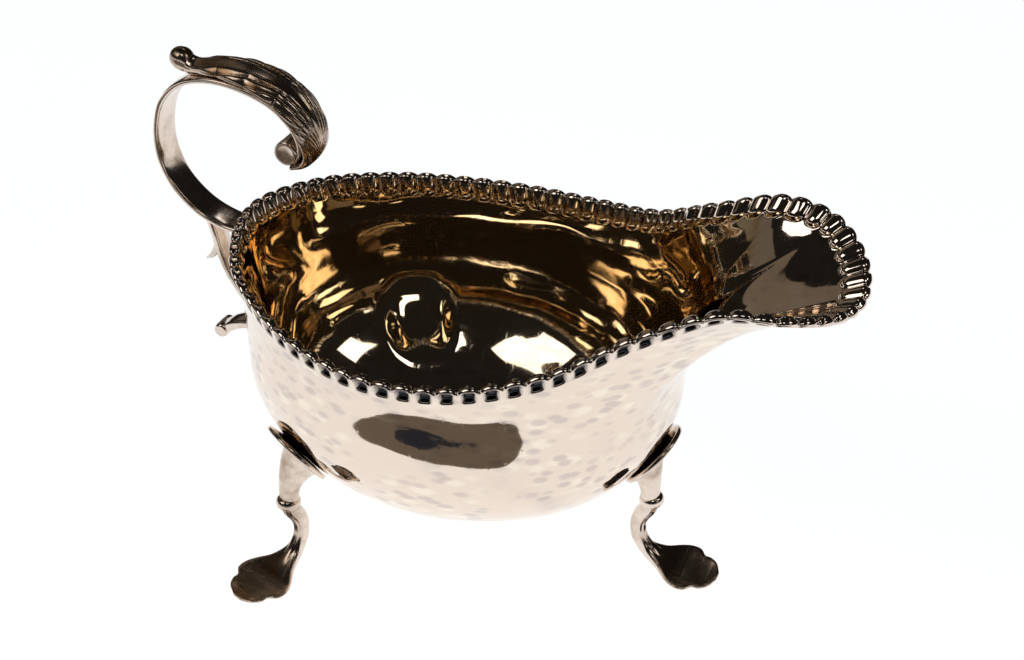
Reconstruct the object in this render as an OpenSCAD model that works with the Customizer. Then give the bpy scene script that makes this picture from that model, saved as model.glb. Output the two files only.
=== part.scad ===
// Silver sauce boat: a raised bowl with a wide lip and punched rim, a leaf-capped
// scroll handle, and three cast legs. +X runs from the handle to the lip, +Z is up,
// and the origin lies on the table under the middle of the whole piece.

/* [Bowl] */
// Length of the bowl at its widest line
belly_len = 109.6; // [104:0.2:114]
// Width of the bowl at its widest line
belly_wid = 91.8; // [86:0.2:96]
// Height of the widest line above the table
belly_z = 52; // [48:0.5:56]
// Depth of the bowl below its widest line
belly_depth = 36.2; // [32:0.2:38]
// Distance of the bowl's centre from the origin, along X
belly_x = -7.1; // [-9:0.1:-5]
// Roundness of the lower bowl (1 is a true ellipsoid)
belly_round = 0.93; // [0.85:0.01:1]
// Thickness of the raised sheet
wall = 1; // [0.8:0.1:1.4]

/* [Handle] */
// Width of the handle strap
strap_w = 8.4; // [6:0.2:9]
// Thickness of the handle strap
strap_t = 1.9; // [1.6:0.1:2.4]
// Width of the leaf at its broadest
leaf_w = 12.6; // [10:0.2:14]
// Radius of the curled leaf tip that the thumb rests on
thumb_r = 2.6; // [2:0.1:3]
// Radius of the roll at the end of the upper scroll
roll_r = 2.9; // [2.4:0.1:3.2]

/* [Legs] */
// Distance from the origin to the front leg's collar
front_leg_x = 42.5; // [40:0.1:44]
// Distance behind the origin to the rear legs' collars
rear_leg_x = -39.4; // [-41:0.1:-37]
// Distance of each rear leg's collar to the side
rear_leg_y = 35.2; // [33:0.1:37]
// Bearing of the rear toes away from the front toe
rear_turn = 112; // [106:1:124]
// Height of each collar above the table
collar_z = 20; // [18:0.5:22]
// Radius of each collar ring
collar_r = 2.9; // [2.4:0.1:3.4]
// Half width of each three-lobed foot
foot_half_w = 8.2; // [7:0.1:9]
// Radius of each soldered pad
pad_r = 9.4; // [8:0.1:10.5]

/* [Hidden] */
$fn = 64;
belly_a = belly_len / 2;
belly_b = belly_wid / 2;
silver = [0.80, 0.79, 0.76];
cast_silver = [0.66, 0.62, 0.56];

// Rim from the handle end (first) to the lip's tip (last), one side of the boat:
// x, y, z, the bearing on the bowl below it, and how far the wall leans out there.
RIM = [[-65.8, 0, 79.6, 180, 26],
       [-58.6, 21.4, 77.7, 152, 20],
       [-42.4, 36, 75.5, 129.5, 20],
       [-23.7, 44.4, 73.6, 107.5, 23],
       [-6.3, 47, 73.3, 89, 25],
       [11.6, 44.5, 74.9, 70, 24],
       [29.7, 37.7, 79.6, 50, 20],
       [45.7, 31.1, 88.7, 38, 26],
       [62.5, 27.2, 96.4, 27, 44],
       [75.8, 23.6, 95.6, 17, 60],
       [85.1, 13.2, 92.4, 8, 66],
       [88.2, 0, 90.6, 0, 66]];
SPAN = len(RIM) - 1;
STEPS_AROUND = 4;  // ribs between two knots of the rim
LOW_RINGS = 8;     // rings between the bottom and the belly
HIGH_RINGS = 9;    // rings between the belly and the rim

// Middle line of the handle strap in the plane y = 0, from the rim round to the roll
STRAP = [[-63.8, 73.3], [-71.8, 74.2], [-78.8, 77.4], [-84.4, 83.2], [-87.2, 90.8],
         [-86.9, 98.9], [-84.1, 106.4], [-78.2, 111.9], [-70, 114], [-61.3, 113.2],
         [-53.8, 110.4], [-48.7, 105.6], [-47.1, 100.4], [-49.3, 96.7]];
ROLL = [-50.8, 99.2];
// Line of the leaf's spine, from the thumb end to the outer end of the scroll
LEAF = [[-78.6, 114.2], [-71.8, 116.2], [-64.8, 116.3], [-57.8, 115], [-51.5, 111.8],
        [-46.7, 106.6], [-44.9, 101], [-46.8, 96.4]];
LEAF_WIDTH = [0.5, 0.66, 0.82, 0.94, 1, 0.98, 0.86, 0.74];
THUMB = [-79.8, 116.9];
// Branch from the strap down to the bowl, its spur, and the curled terminal below it
LOWER = [[-76, 76], [-74.8, 70.4], [-73.8, 64.6], [-71.6, 58.3], [-67.9, 52.2], [-62.5, 47.2]];
LOWER_WIDTH = [6.2, 6, 5.6, 5.4, 5.2, 4.6];
SPUR = [[-74.4, 66.4], [-76.7, 62.9], [-79.4, 60.9]];
TAIL = [[-61.4, 44.3], [-66.4, 44.8], [-71.4, 43.3], [-75.5, 40.6], [-78.6, 38.6]];
TAIL_WIDTH = [7, 6.4, 5.8, 4.8, 1.8];

// Leg in its own upright plane: r outwards from the collar's axis and z above the table,
// with the half width across the plane and the thickness in it
SHANK = [[-0.2, 19.05, 2.1, 4.2], [-0.7, 17.2, 2, 4], [-2.3, 14.2, 1.75, 3.7], [-3, 11, 1.6, 3.3],
         [-2.4, 7.4, 1.7, 3.3], [0.1, 3.9, 2.3, 3.2], [3.8, 2, 4.1, 2.9],
         [7.2, 1, 7, 2.4], [9.8, 0.7, 8.2, 2.1], [12.2, 0.6, 7.9, 1.9],
         [13.8, 0.5, 6.1, 1.8], [15.4, 0.45, 5.9, 1.7], [17.4, 0.4, 4.4, 1.6], [18.8, 0.4, 1.4, 1.2]];
SHANK_HALF_W = 8.2;
// Where the pads are soldered: bearing and rise on the bowl
FRONT_PAD = [0, 27];
REAR_PAD = [126, 25];
PAD_CURVE = 44;    // inner curve of a pad, to sit on the bowl
PAD_T = 1.1;
PAD_GAP = 0.25;    // room for solder
ROOT_LONG = 6.3;   // half length and half width of the knee's root on its pad
ROOT_WIDE = 4.4;
ROOT_DROP = 2.6;   // how far the root sits below the pad's middle
NECK_R = 2.4;      // radius of the knee where it meets the collar
COLLAR_EDGE = 0.9; // radius of the collar's rounded edge
COLLAR_TILT = 8;   // degrees that the collar leans up towards the toe
ROLL_PROUD = 1;    // how far the scroll's roll stands out on each side of the strap
LEAF_T = 2;
BRANCH_T = 2.2;
CUT_GAP = 0.04;    // play between the branch and the strap it is cut round

function mirrored(k) = [k[0], -k[1], k[2], (k[3] > 90 ? 360 : 0) - k[3], k[4]];
function past(k, i) = i < 0 ? 2 * k[0] - k[1] : i >= len(k) ? 2 * k[len(k) - 1] - k[len(k) - 2] : k[i];
function rim_knot(i) = i < 0 ? mirrored(RIM[1]) : i > SPAN ? mirrored(RIM[SPAN - 1]) : RIM[i];
function through(a, b, c, d, t) =
    b + 0.5 * t * (c - a + t * (2 * a - 5 * b + 4 * c - d + t * (3 * (b - c) + d - a)));
function on_curve(k, s) = let (i = min(floor(s), len(k) - 2))
    through(past(k, i - 1), k[i], k[i + 1], past(k, i + 2), s - i);
function on_rim(s) = let (i = min(floor(s), SPAN - 1))
    through(rim_knot(i - 1), rim_knot(i), rim_knot(i + 1), rim_knot(i + 2), s - i);
function unit(v) = v / norm(v);
function xyz(k) = [k[0], k[1], k[2]];

// One rib of the outer surface, from the bottom up to the rim
function bowl_point(bearing, rise) = let (r = pow(cos(rise), belly_round))
    [belly_x + belly_a * r * cos(bearing), belly_b * r * sin(bearing),
     belly_z - belly_depth * pow(sin(rise), belly_round)];
function bezier(a, b, c, d, t) = let (s = 1 - t)
    s * s * s * a + 3 * s * s * t * b + 3 * s * t * t * c + t * t * t * d;
function rib(s) = let (
        k = on_rim(s), top = xyz(k), h = 0.02,
        ahead = xyz(on_rim(min(s + h, SPAN))) - xyz(on_rim(max(s - h, 0))),
        side = s <= 0 ? [-1, 0] : s >= SPAN ? [1, 0] : unit([-ahead[1], ahead[0]]),
        lean = [side[0] * sin(k[4]), side[1] * sin(k[4]), cos(k[4])],
        foot = bowl_point(k[3], 0), reach = norm(top - foot))
    [for (j = [1 : LOW_RINGS]) bowl_point(k[3], 90 - 90 * j / LOW_RINGS),
     for (j = [1 : HIGH_RINGS])
         bezier(foot, foot + [0, 0, 0.36 * reach], top - 0.4 * reach * lean, top, j / HIGH_RINGS)];

HALF = SPAN * STEPS_AROUND;
RIBS = [for (i = [0 : HALF]) rib(i / STEPS_AROUND)];
function flipped(p) = [p[0], -p[1], p[2]];
OUTER = [for (i = [0 : 2 * HALF - 1]) i <= HALF ? RIBS[i] : [for (p = RIBS[2 * HALF - i]) flipped(p)]];
NU = len(OUTER);
NV = LOW_RINGS + HIGH_RINGS;
BOTTOM = [belly_x, 0, belly_z - belly_depth];
function inward(i, j) = let (
        along = OUTER[(i + 1) % NU][j] - OUTER[(i + NU - 1) % NU][j],
        up = (j < NV - 1 ? OUTER[i][j + 1] : OUTER[i][j]) - (j > 0 ? OUTER[i][j - 1] : BOTTOM))
    unit(cross(up, along));
INNER = [for (i = [0 : NU - 1]) [for (j = [0 : NV - 1]) OUTER[i][j] - wall * inward(i, j)]];

// A skin between rings of points; each ring has the same number of points
function loft_faces(n, rings) = [
    [for (k = [0 : n - 1]) k],
    for (j = [0 : rings - 2], k = [0 : n - 1]) each [
        [j * n + k, (j + 1) * n + k, (j + 1) * n + (k + 1) % n],
        [j * n + k, (j + 1) * n + (k + 1) % n, j * n + (k + 1) % n]],
    [for (k = [n - 1 : -1 : 0]) (rings - 1) * n + k]];
module loft(rings) {
    polyhedron(convexity = 6, points = [for (r = rings) each r],
               faces = loft_faces(len(rings[0]), len(rings)));
}
// A flattened round section at p in the plane y = 0, square to the direction given
SIDES = 16;
function section(p, dir, half_w, thick, square = 0.6) = [for (k = [0 : SIDES - 1])
    let (a = 360 * k / SIDES, c = cos(a), s = sin(a),
         across = half_w * sign(c) * pow(abs(c), square), out = thick / 2 * sign(s) * pow(abs(s), square))
    [p[0] - out * dir[1], across, p[1] + out * dir[0]]];
function heading(k, s) = let (
        h = 0.05, a = on_curve(k, max(s - h, 0)), b = on_curve(k, min(s + h, len(k) - 1)))
    unit([b[0] - a[0], b[1] - a[1]]);
// A ribbon along a curve, whose width and thickness follow their own lists
module ribbon(path, widths, thicks, steps = 4, square = 0.6) {
    last = (len(path) - 1) * steps;
    loft([for (i = [0 : last]) let (s = i / steps)
        section(on_curve(path, s), heading(path, s),
                on_curve(widths, s) / 2, on_curve(thicks, s), square)]);
}
function level(path, value) = [for (p = path) value];

module body() {
    outer_pts = [for (r = OUTER) each r];
    inner_pts = [for (r = INNER) each r];
    n = NU * NV;
    color(silver)
    polyhedron(convexity = 8,
        points = [each outer_pts, each inner_pts, BOTTOM, BOTTOM + [0, 0, wall]],
        faces = [for (i = [0 : NU - 1]) let (a = i * NV, b = (i + 1) % NU * NV) each [
            [2 * n, a, b],
            [2 * n + 1, n + b, n + a],
            for (j = [0 : NV - 2]) each [
                [a + j, a + j + 1, b + j + 1], [a + j, b + j + 1, b + j],
                [n + a + j, n + b + j + 1, n + a + j + 1], [n + a + j, n + b + j, n + b + j + 1]],
            [a + NV - 1, n + a + NV - 1, n + b + NV - 1], [a + NV - 1, n + b + NV - 1, b + NV - 1]]]);
}

module handle_strap() {
    color(cast_silver) {
        ribbon(STRAP, level(STRAP, strap_w), level(STRAP, strap_t));
        translate([ROLL[0], 0, ROLL[1]]) rotate([90, 0, 0])
            cylinder(r = roll_r, h = strap_w + 2 * ROLL_PROUD, center = true);
    }
}
module handle_leaf() {
    color(cast_silver) {
        ribbon(LEAF, leaf_w * LEAF_WIDTH, level(LEAF, LEAF_T), square = 0.8);
        translate([THUMB[0], 0, THUMB[1]]) sphere(r = thumb_r);
    }
}
module handle_lower_scroll() {
    color(cast_silver) {
        difference() {
            ribbon(LOWER, LOWER_WIDTH, level(LOWER, BRANCH_T));
            ribbon(STRAP, level(STRAP, strap_w), level(STRAP, strap_t + CUT_GAP));
        }
        ribbon(SPUR, [5, 4, 1.4], [2, 1.7, 0.9]);
    }
}
module handle_tail() {
    color(cast_silver) ribbon(TAIL, TAIL_WIDTH, [2.2, 2.2, 2.4, 2.2, 1]);
}

// The parts of one leg. A pad follows the bowl: its own axis is the bowl's normal there.
function bowl_normal(bearing, rise) = let (h = 0.5)
    unit(cross(bowl_point(bearing, rise - h) - bowl_point(bearing, rise + h),
               bowl_point(bearing - h, rise) - bowl_point(bearing + h, rise)));
// A point on the pad's outer face, u along it downwards and v across it
function on_pad(at, u, v) = let (
        p = bowl_point(at[0], at[1]), n = bowl_normal(at[0], at[1]), across = unit(cross([0, 0, 1], n)),
        down = cross(across, n), r = PAD_CURVE + PAD_T,
        out = PAD_GAP + PAD_T + 0.02 + sqrt(r * r - u * u - v * v) - r)
    p + out * n + u * down + v * across;
module pad(at) {
    n = bowl_normal(at[0], at[1]);
    color(cast_silver)
    translate(bowl_point(at[0], at[1])) rotate([0, acos(n[2]), atan2(n[1], n[0])])
    rotate_extrude() translate([0, PAD_GAP - PAD_CURVE]) intersection() {
        difference() {
            circle(r = PAD_CURVE + PAD_T, $fn = 256);
            circle(r = PAD_CURVE, $fn = 256);
        }
        square([pad_r, PAD_CURVE + PAD_T + 1]);
    }
}
// The knee runs from a round neck on the collar to an oval root on the pad
function neck(place, k, h) = let (a = 360 * k / SIDES)
    [place[0] + NECK_R * cos(a + place[2]), place[1] + NECK_R * sin(a + place[2]), h];
function root(at, k, part) = let (a = 360 * k / SIDES)
    on_pad(at, ROOT_DROP - part * ROOT_LONG * cos(a), part * ROOT_WIDE * sin(a));
module knee(place, at) {
    low = collar_z + 1;
    color(cast_silver) loft([
        for (t = [0, 0.22, 0.42, 0.6, 0.77, 0.9, 1]) [for (k = [0 : SIDES - 1])
            let (n = neck(place, k, low), r = root(at, k, 1), mix = pow(t, 2.2))
            [n[0] + (r[0] - n[0]) * mix, n[1] + (r[1] - n[1]) * mix, low + (r[2] - low) * t]],
        [for (k = [0 : SIDES - 1]) root(at, k, 0.45)]]);
}
module collar() {
    color(cast_silver) translate([0, 0, collar_z]) rotate([0, -COLLAR_TILT, 0])
        rotate_extrude() {
            translate([0, -COLLAR_EDGE]) square([collar_r - COLLAR_EDGE, 2 * COLLAR_EDGE]);
            translate([collar_r - COLLAR_EDGE, 0]) circle(r = COLLAR_EDGE, $fn = 32);
        }
}
module foot() {
    scale_w = 2 * foot_half_w / SHANK_HALF_W;
    color(cast_silver) difference() {
        ribbon([for (p = SHANK) [p[0], p[1]]], [for (p = SHANK) scale_w * p[2]], [for (p = SHANK) p[3]],
               steps = 2, square = 0.7);
        translate([-15, -15, -5]) cube([40, 30, 5]);
    }
}
// Each leg's place: x, y and the bearing of its toe
FRONT_LEG = [front_leg_x, 0, 0];
REAR_LEFT_LEG = [rear_leg_x, rear_leg_y, rear_turn];
REAR_RIGHT_LEG = [rear_leg_x, -rear_leg_y, -rear_turn];
function other_side(at) = [-at[0], at[1]];
module at_leg(place) {
    translate([place[0], place[1], 0]) rotate([0, 0, place[2]]) children();
}
module front_pad() { pad(FRONT_PAD); }
module front_knee() { knee(FRONT_LEG, FRONT_PAD); }
module front_collar() { at_leg(FRONT_LEG) collar(); }
module front_foot() { at_leg(FRONT_LEG) foot(); }
module rear_left_pad() { pad(REAR_PAD); }
module rear_left_knee() { knee(REAR_LEFT_LEG, REAR_PAD); }
module rear_left_collar() { at_leg(REAR_LEFT_LEG) collar(); }
module rear_left_foot() { at_leg(REAR_LEFT_LEG) foot(); }
module rear_right_pad() { pad(other_side(REAR_PAD)); }
module rear_right_knee() { knee(REAR_RIGHT_LEG, other_side(REAR_PAD)); }
module rear_right_collar() { at_leg(REAR_RIGHT_LEG) collar(); }
module rear_right_foot() { at_leg(REAR_RIGHT_LEG) foot(); }

body();
handle_strap();
handle_leaf();
handle_lower_scroll();
handle_tail();
front_pad();
front_knee();
front_collar();
front_foot();
rear_left_pad();
rear_left_knee();
rear_left_collar();
rear_left_foot();
rear_right_pad();
rear_right_knee();
rear_right_collar();
rear_right_foot();
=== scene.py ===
# %% [markdown]
# Silver sauce boat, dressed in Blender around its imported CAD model.
# The CAD model is the fixed frame: every piece below is made in metres in that frame,
# stands in for one CAD node and stays inside the CAD model's box. The boat is a raised
# and planished bowl with a punched rim, a cast scroll handle under a fluted leaf, and
# three cast legs with shaped feet.

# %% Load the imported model
import math
import bpy
import numpy as np
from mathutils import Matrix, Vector


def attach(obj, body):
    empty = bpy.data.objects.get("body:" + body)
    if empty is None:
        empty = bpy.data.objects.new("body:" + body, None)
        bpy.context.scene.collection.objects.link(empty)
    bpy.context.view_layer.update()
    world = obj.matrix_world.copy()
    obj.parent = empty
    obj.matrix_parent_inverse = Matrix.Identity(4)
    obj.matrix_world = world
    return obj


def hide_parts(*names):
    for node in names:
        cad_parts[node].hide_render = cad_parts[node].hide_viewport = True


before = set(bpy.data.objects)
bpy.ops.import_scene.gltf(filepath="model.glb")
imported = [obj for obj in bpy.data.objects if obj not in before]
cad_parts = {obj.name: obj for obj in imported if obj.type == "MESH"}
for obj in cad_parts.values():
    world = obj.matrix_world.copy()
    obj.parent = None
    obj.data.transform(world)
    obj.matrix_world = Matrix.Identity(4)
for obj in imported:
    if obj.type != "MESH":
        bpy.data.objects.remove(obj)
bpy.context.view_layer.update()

MM = 0.001
print("nodes:", sorted(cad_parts))

# %% [markdown]
# Camera first. A long lens close to a small object gives the gentle perspective of a
# product picture, and a camera that is aimed with one Track quaternion has no roll.

# %% Camera
camera_data = bpy.data.cameras.new("camera")
camera_data.lens, camera_data.sensor_width = 56.3, 36.0
camera_data.clip_start = 0.01
camera = bpy.data.objects.new("camera", camera_data)
camera.location = (0.1271, -0.2909, 0.2815)
aim = Vector((0.0054, 0.0, 0.0609)) - camera.location
camera.rotation_euler = aim.to_track_quat("-Z", "Y").to_euler()
bpy.context.scene.collection.objects.link(camera)
bpy.context.scene.camera = camera
print("camera distance", round(aim.length, 4))

# %% [markdown]
# Small node helpers. A shader or geometry tree is a list of nodes and links, and these
# functions make a node with its values in one line and join sockets.

# %% Node helpers
def add_node(tree, kind, **values):
    node = tree.nodes.new(kind)
    for key, value in values.items():
        setattr(node, key, value)
    return node


def feed(tree, value, socket):
    """A socket takes another socket's output, or a plain value."""
    if isinstance(value, bpy.types.NodeSocket):
        tree.links.new(value, socket)
    elif value is not None:
        socket.default_value = value


def maths(tree, operation, *values):
    node = add_node(tree, "ShaderNodeMath", operation=operation)
    for value, socket in zip(values, node.inputs):
        feed(tree, value, socket)
    return node.outputs[0]


def ramp_between(tree, value, low, high, start=0.0, end=1.0):
    """Smooth step: start at low, end at high."""
    node = add_node(tree, "ShaderNodeMapRange", interpolation_type="SMOOTHSTEP")
    for item, socket in zip((value, low, high, start, end), node.inputs):
        feed(tree, item, socket)
    return node.outputs[0]


def mix_colour(tree, amount, first, second, blend="MIX"):
    node = add_node(tree, "ShaderNodeMix", data_type="RGBA", blend_type=blend)
    feed(tree, amount, node.inputs[0])
    feed(tree, first, node.inputs[6])
    feed(tree, second, node.inputs[7])
    return node.outputs[2]


def new_group(name, inputs, outputs):
    """A shader node group with float inputs, given as name: default."""
    group = bpy.data.node_groups.new(name, "ShaderNodeTree")
    for label, value in inputs.items():
        socket = group.interface.new_socket(label, in_out="INPUT", socket_type="NodeSocketFloat")
        socket.default_value = value
    for label, kind in outputs.items():
        group.interface.new_socket(label, in_out="OUTPUT", socket_type="NodeSocket" + kind)
    return group, group.nodes.new("NodeGroupInput"), group.nodes.new("NodeGroupOutput")


def use_group(tree, group, **values):
    node = add_node(tree, "ShaderNodeGroup", node_tree=group)
    for label, value in values.items():
        feed(tree, value, node.inputs[label.replace("_", " ")])
    return node


def product(tree, first, *others):
    for other in others:
        first = maths(tree, "MULTIPLY", first, other)
    return first


print("node helpers: add_node, feed, maths, ramp_between, mix_colour, product, new_group, use_group")

# %% [markdown]
# Hammered silver shows rows of shallow facets left by the planishing hammer. They could
# be carved one by one, but a smooth Voronoi cell pattern gives the same overlapping
# dimples, and a slow noise under it gives the long waves that break up reflections.

# %% Group: hammer marks
def hammer_marks_group():
    group, inside, out = new_group("hammer_marks", {"Size": 300.0, "Waves": 60.0}, {"Height": "Float"})
    place = group.nodes.new("ShaderNodeTexCoord").outputs["Object"]
    cells = add_node(group, "ShaderNodeTexVoronoi", feature="SMOOTH_F1")
    group.links.new(place, cells.inputs["Vector"])
    group.links.new(inside.outputs["Size"], cells.inputs["Scale"])
    cells.inputs["Smoothness"].default_value = 0.8
    waves = add_node(group, "ShaderNodeTexNoise")
    group.links.new(place, waves.inputs["Vector"])
    group.links.new(inside.outputs["Waves"], waves.inputs["Scale"])
    waves.inputs["Detail"].default_value = 1.5
    facets = maths(group, "MULTIPLY", cells.outputs["Distance"], 0.35)
    group.links.new(maths(group, "ADD", facets, waves.outputs["Fac"]), out.inputs["Height"])
    return group


hammer_marks = hammer_marks_group()
print("hammer_marks:", len(hammer_marks.nodes), "nodes")

# %% [markdown]
# Old silver is polished over and over, which leaves hair-fine scratches in every
# direction. Two stretched noises, turned against each other, give crossing strokes.

# %% Group: polishing scratches
def fine_scratches_group():
    group, inside, out = new_group("fine_scratches", {"Density": 900.0}, {"Scratches": "Float"})
    place = group.nodes.new("ShaderNodeTexCoord").outputs["Object"]
    strokes = []
    for turn, stretch in ((0.5, (1.0, 0.06, 0.4)), (2.1, (0.07, 1.0, 0.5))):
        mapping = add_node(group, "ShaderNodeMapping")
        group.links.new(place, mapping.inputs["Vector"])
        mapping.inputs["Rotation"].default_value = (turn, 0.4 * turn, turn)
        mapping.inputs["Scale"].default_value = stretch
        noise = add_node(group, "ShaderNodeTexNoise")
        group.links.new(mapping.outputs[0], noise.inputs["Vector"])
        group.links.new(inside.outputs["Density"], noise.inputs["Scale"])
        noise.inputs["Detail"].default_value = 2.0
        strokes.append(ramp_between(group, noise.outputs["Fac"], 0.62, 0.72))
    group.links.new(maths(group, "MAXIMUM", *strokes), out.inputs["Scratches"])
    return group


fine_scratches = fine_scratches_group()
print("fine_scratches:", len(fine_scratches.nodes), "nodes")

# %% [markdown]
# Tarnish gathers where a cloth doesn't reach, in thin uneven clouds. The group puts out
# one mask: a broad cloud from noise, pushed up where the piece says it is hollow.

# %% Group: tarnish
def tarnish_group():
    group, inside, out = new_group(
        "tarnish", {"Hollow": 0.0, "Cloud Size": 70.0, "Spread": 0.5}, {"Mask": "Float"})
    place = group.nodes.new("ShaderNodeTexCoord").outputs["Object"]
    cloud = add_node(group, "ShaderNodeTexNoise")
    group.links.new(place, cloud.inputs["Vector"])
    group.links.new(inside.outputs["Cloud Size"], cloud.inputs["Scale"])
    cloud.inputs["Detail"].default_value = 6.0
    cloud.inputs["Roughness"].default_value = 0.6
    highest = 0.85
    low = maths(group, "SUBTRACT", highest, inside.outputs["Spread"])
    soft = ramp_between(group, cloud.outputs["Fac"], low, highest)
    uneven = maths(group, "ADD", 0.55, cloud.outputs["Fac"])
    deep = maths(group, "MULTIPLY", inside.outputs["Hollow"], uneven)
    total = add_node(group, "ShaderNodeMath", operation="ADD", use_clamp=True)
    feed(group, soft, total.inputs[0])
    feed(group, deep, total.inputs[1])
    group.links.new(total.outputs[0], out.inputs["Mask"])
    return group


tarnish = tarnish_group()
print("tarnish:", len(tarnish.nodes), "nodes")

# %% [markdown]
# Each hammer blow also leaves a faint spot that takes the polish a little differently.
# A second group turns stretched Voronoi cells into soft oval spots, and lets a broad
# noise thin them out, so that they come and go over the surface.

# %% Group: hammer spots
def hammer_spots_group():
    group, inside, out = new_group("hammer_spots", {"Size": 260.0}, {"Mask": "Float"})
    place = group.nodes.new("ShaderNodeTexCoord").outputs["Object"]
    mapping = add_node(group, "ShaderNodeMapping")
    group.links.new(place, mapping.inputs["Vector"])
    mapping.inputs["Scale"].default_value = (0.65, 1.0, 1.5)
    cells = add_node(group, "ShaderNodeTexVoronoi")
    group.links.new(mapping.outputs[0], cells.inputs["Vector"])
    group.links.new(inside.outputs["Size"], cells.inputs["Scale"])
    spread = add_node(group, "ShaderNodeTexNoise")
    group.links.new(place, spread.inputs["Vector"])
    spread.inputs["Scale"].default_value = 45.0
    spread.inputs["Detail"].default_value = 3.0
    spot = ramp_between(group, cells.outputs["Distance"], 0.48, 0.22)
    thinned = ramp_between(group, spread.outputs["Fac"], 0.34, 0.52)
    group.links.new(maths(group, "MULTIPLY", spot, thinned), out.inputs["Mask"])
    return group


hammer_spots = hammer_spots_group()
print("hammer_spots:", len(hammer_spots.nodes), "nodes")

# %% [markdown]
# Sheet silver, the bowl's finish. Polished metal has almost no colour of its own: its
# look is what it reflects. So Metallic is 1 and the care goes into the tint, which is a
# pale warm grey outside and golden where the inside has yellowed, and into the bumps.
# Clouds of tarnish and darker and paler hammer spots are mixed over it, and the punched pits get painted
# shade: near black.

# %% Finish: sheet silver
POLISHED, YELLOWED = (0.82, 0.70, 0.595, 1), (0.87, 0.695, 0.46, 1)
CLOUDED, CLOUDED_YELLOW = (0.56, 0.475, 0.45, 1), (0.54, 0.38, 0.21, 1)
# the second colour here is painted shade: near black laid into the punched pits so that they look deep
PALE_SPOT, PIT_PAINTED_SHADE = (0.97, 0.89, 0.74, 1), (0.04, 0.042, 0.046, 1)


def new_metal(name):
    finish = bpy.data.materials.new(name)
    finish.use_nodes = True
    shader = finish.node_tree.nodes["Principled BSDF"]
    shader.inputs["Metallic"].default_value = 1.0
    return finish, finish.node_tree, shader


def attribute_value(tree, name):
    return add_node(tree, "ShaderNodeAttribute", attribute_name=name).outputs["Fac"]


def bumped(tree, shader, steps):
    """Bump nodes in a row, each (height, distance, strength), that end in the shader's Normal."""
    before = None
    for height, distance, strength in steps:
        node = add_node(tree, "ShaderNodeBump")
        node.inputs["Distance"].default_value = distance
        node.inputs["Strength"].default_value = strength
        feed(tree, height, node.inputs["Height"])
        if before is not None:
            tree.links.new(before, node.inputs["Normal"])
        before = node.outputs[0]
    tree.links.new(before, shader.inputs["Normal"])


def sheet_silver_finish():
    finish, tree, shader = new_metal("sheet_silver")
    gilt = attribute_value(tree, "gilt")
    hollow = attribute_value(tree, "hollow")
    stain = use_group(tree, tarnish, Hollow=hollow, Cloud_Size=55.0, Spread=0.34).outputs["Mask"]
    tint = mix_colour(tree, gilt, POLISHED, YELLOWED)
    cloudy = mix_colour(tree, gilt, CLOUDED, CLOUDED_YELLOW)
    pale = use_group(tree, hammer_spots, Size=190.0).outputs["Mask"]
    tint = mix_colour(tree, product(tree, pale, 0.5), tint, PALE_SPOT)
    bare = maths(tree, "SUBTRACT", 1.0, gilt)
    spots = product(tree, use_group(tree, hammer_spots, Size=260.0).outputs["Mask"], bare)
    dull = maths(tree, "ADD", product(tree, stain, 0.6), product(tree, spots, 0.6))
    colour = mix_colour(tree, maths(tree, "MINIMUM", dull, 1.0), tint, cloudy)
    # painted shade: the pits are mixed to near black so that they look deep
    colour = mix_colour(tree, attribute_value(tree, "pit"), colour, PIT_PAINTED_SHADE)
    feed(tree, colour, shader.inputs["Base Color"])
    strokes = use_group(tree, fine_scratches, Density=700.0).outputs["Scratches"]
    rough = maths(tree, "ADD", product(tree, strokes, 0.06), product(tree, stain, 0.05))
    feed(tree, maths(tree, "ADD", rough, 0.045), shader.inputs["Roughness"])
    marks = use_group(tree, hammer_marks, Size=330.0, Waves=75.0).outputs["Height"]
    bumped(tree, shader, [(marks, 0.00005, 0.5), (strokes, 0.00001, 0.3)])
    return finish


sheet_silver = sheet_silver_finish()
print("sheet_silver:", len(sheet_silver.node_tree.nodes), "nodes")

# %% [markdown]
# Cast silver, for the handle and legs: a little darker and duller than the sheet, with
# brown tarnish left in every hollow of the casting.

# %% Finish: cast silver
CAST, CAST_TARNISH = (0.76, 0.65, 0.56, 1), (0.27, 0.17, 0.095, 1)


def cast_silver_finish():
    finish, tree, shader = new_metal("cast_silver")
    hollow = attribute_value(tree, "hollow")
    stain = use_group(tree, tarnish, Hollow=hollow, Cloud_Size=120.0, Spread=0.44).outputs["Mask"]
    feed(tree, mix_colour(tree, stain, CAST, CAST_TARNISH), shader.inputs["Base Color"])
    strokes = use_group(tree, fine_scratches, Density=1100.0).outputs["Scratches"]
    rough = maths(tree, "ADD", product(tree, strokes, 0.08), product(tree, stain, 0.14))
    feed(tree, maths(tree, "ADD", rough, 0.12), shader.inputs["Roughness"])
    marks = use_group(tree, hammer_marks, Size=420.0, Waves=190.0).outputs["Height"]
    bumped(tree, shader, [(marks, 0.00006, 0.4), (strokes, 0.00001, 0.3)])
    return finish


cast_silver = cast_silver_finish()
print("cast_silver:", len(cast_silver.node_tree.nodes), "nodes")

# %% [markdown]
# Curves and lofts. Nearly every piece is a row of closed sections that follow a line, so
# one smooth curve through knots and one skin between rings make them all.

# %% Curve and loft helpers
def smooth_between(a, b, c, d, t):
    """The smooth curve from b to c, for a row of knots a, b, c, d."""
    return b + 0.5 * t * (c - a + t * (2 * a - 5 * b + 4 * c - d + t * (3 * (b - c) + d - a)))


def ramp(value, start, length):
    """0 at start and 1 from start + length on; a negative length runs down."""
    return np.clip((value - start) / length, 0, 1)


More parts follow.
